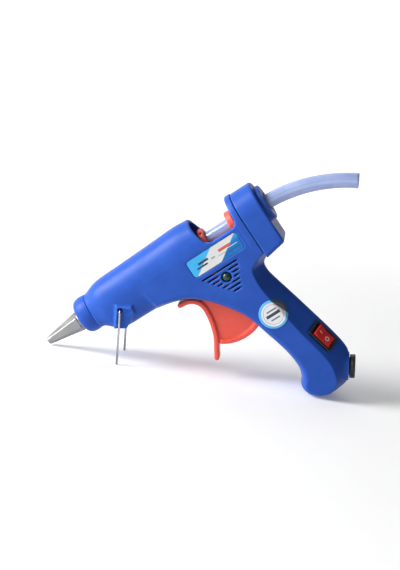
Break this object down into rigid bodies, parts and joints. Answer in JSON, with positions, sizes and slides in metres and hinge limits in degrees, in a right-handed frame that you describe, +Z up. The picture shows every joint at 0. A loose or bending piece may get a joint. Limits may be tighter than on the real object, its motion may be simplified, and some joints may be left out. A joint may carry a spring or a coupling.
{
  "type": "glue gun",
  "caption": "Small hot-melt glue gun on a wire stand, with a squeeze trigger that feeds a glue stick through a heated barrel to a conical nozzle.",
  "frame": {"origin": "centre of the bounding box's bottom face, on the plane that the wire feet and the butt of the grip stand on", "axes": "+X from the nozzle tip towards the grip's back, +Y across the gun towards the side with the screw heads, +Z up"},
  "size_m": [0.1458, 0.0268, 0.105],
  "materials": {
    "blue_plastic": "satin moulded polypropylene or ABS, deep blue",
    "screw_steel": "zinc plated",
    "label_film": "printed film: light blue, pale grey and blue panels, no text",
    "sticker_film": "printed film: pale disc with a light blue ring, no text",
    "nozzle_aluminium": "die-cast and turned, satin, slightly stained by heat",
    "cast_aluminium": "die-cast, rough",
    "bush_plastic": "heat-proof thermoset, matte",
    "support_card": "pressed insulating board",
    "sleeve_rubber": "translucent grey silicone",
    "brass": "plain rolled strip",
    "heater_ceramic": "sintered ceramic, dark grey",
    "tray_ceramic": "white ceramic",
    "spring_steel": "spring steel",
    "orange_plastic": "satin moulded, orange-red",
    "pin_steel": "ground pin",
    "glue": "translucent hot-melt adhesive",
    "wire_steel": "bright drawn wire",
    "lens_green": "dark translucent green lens",
    "board_green": "printed circuit board",
    "resistor_body": "lacquered",
    "black_plastic": "black moulded",
    "red_plastic": "translucent red moulded",
    "lead_red": "silicone insulation",
    "lead_blue": "silicone insulation"
  },
  "bodies": {
    "housing": {"left_housing": "blue_plastic", "right_housing": "blue_plastic", "nose_ring": "blue_plastic", "rear_collar": "blue_plastic", "housing_screw_1": "screw_steel", "housing_screw_2": "screw_steel", "housing_screw_3": "screw_steel", "housing_screw_4": "screw_steel", "clamp_screw_1": "screw_steel", "clamp_screw_2": "screw_steel", "front_label": "label_film", "round_sticker": "sticker_film", "nozzle": "nozzle_aluminium", "melt_chamber": "cast_aluminium", "nose_bush": "bush_plastic", "chamber_front_support": "support_card", "chamber_rear_support": "support_card", "inlet_sleeve": "sleeve_rubber", "electrode_upper": "brass", "electrode_lower": "brass", "switch_terminal_1": "brass", "switch_terminal_2": "brass", "ptc_heater": "heater_ceramic", "heater_tray": "tray_ceramic", "heater_clip": "spring_steel", "trigger_spring": "spring_steel", "trigger_pin": "pin_steel", "indicator_lens": "lens_green", "indicator_board": "board_green", "indicator_resistor": "resistor_body", "switch_body": "black_plastic", "cord_gland": "black_plastic", "cord_clamp": "black_plastic", "lead_live": "lead_red", "lead_switched": "lead_red", "lead_neutral": "lead_blue"},
    "trigger": {"trigger": "orange_plastic", "drive_pin": "pin_steel"},
    "carriage": {"carriage": "orange_plastic"},
    "glue_stick": {"glue_stick": "glue"},
    "stand": {"stand_wire": "wire_steel"},
    "rocker": {"switch_rocker": "red_plastic"}
  },
  "joints": [
    {"name": "trigger_squeeze", "type": "hinge", "parent": "housing", "child": "trigger", "pos_m": [0.00646, 0, 0.03964], "axis": [0, -1, 0], "range_deg": [0, 22], "stiffness_Nm_per_rad": 0.05, "springref_deg": -11.46},
    {"name": "carriage_slide", "type": "slide", "parent": "housing", "child": "carriage", "axis": [-0.7373, 0, -0.6756], "range_m": [0, 0.0068]},
    {"name": "stick_feed", "type": "slide", "parent": "housing", "child": "glue_stick", "axis": [-0.7373, 0, -0.6756], "range_m": [0, 0.0068]},
    {"name": "stand_fold", "type": "hinge", "parent": "housing", "child": "stand", "pos_m": [-0.03909, 0, 0.02557], "axis": [0, -1, 0], "range_deg": [0, 84]},
    {"name": "rocker_tilt", "type": "hinge", "parent": "housing", "child": "rocker", "pos_m": [0.05407, -0.00539, 0.02755], "axis": [-0.343, -0.7943, -0.5014], "range_deg": [0, 13]}
  ],
  "couplings": [
    {"joint": "carriage_slide", "follows": "trigger_squeeze", "m_per_rad": 0.017492},
    {"joint": "stick_feed", "follows": "trigger_squeeze", "m_per_rad": 0.017492}
  ]
}
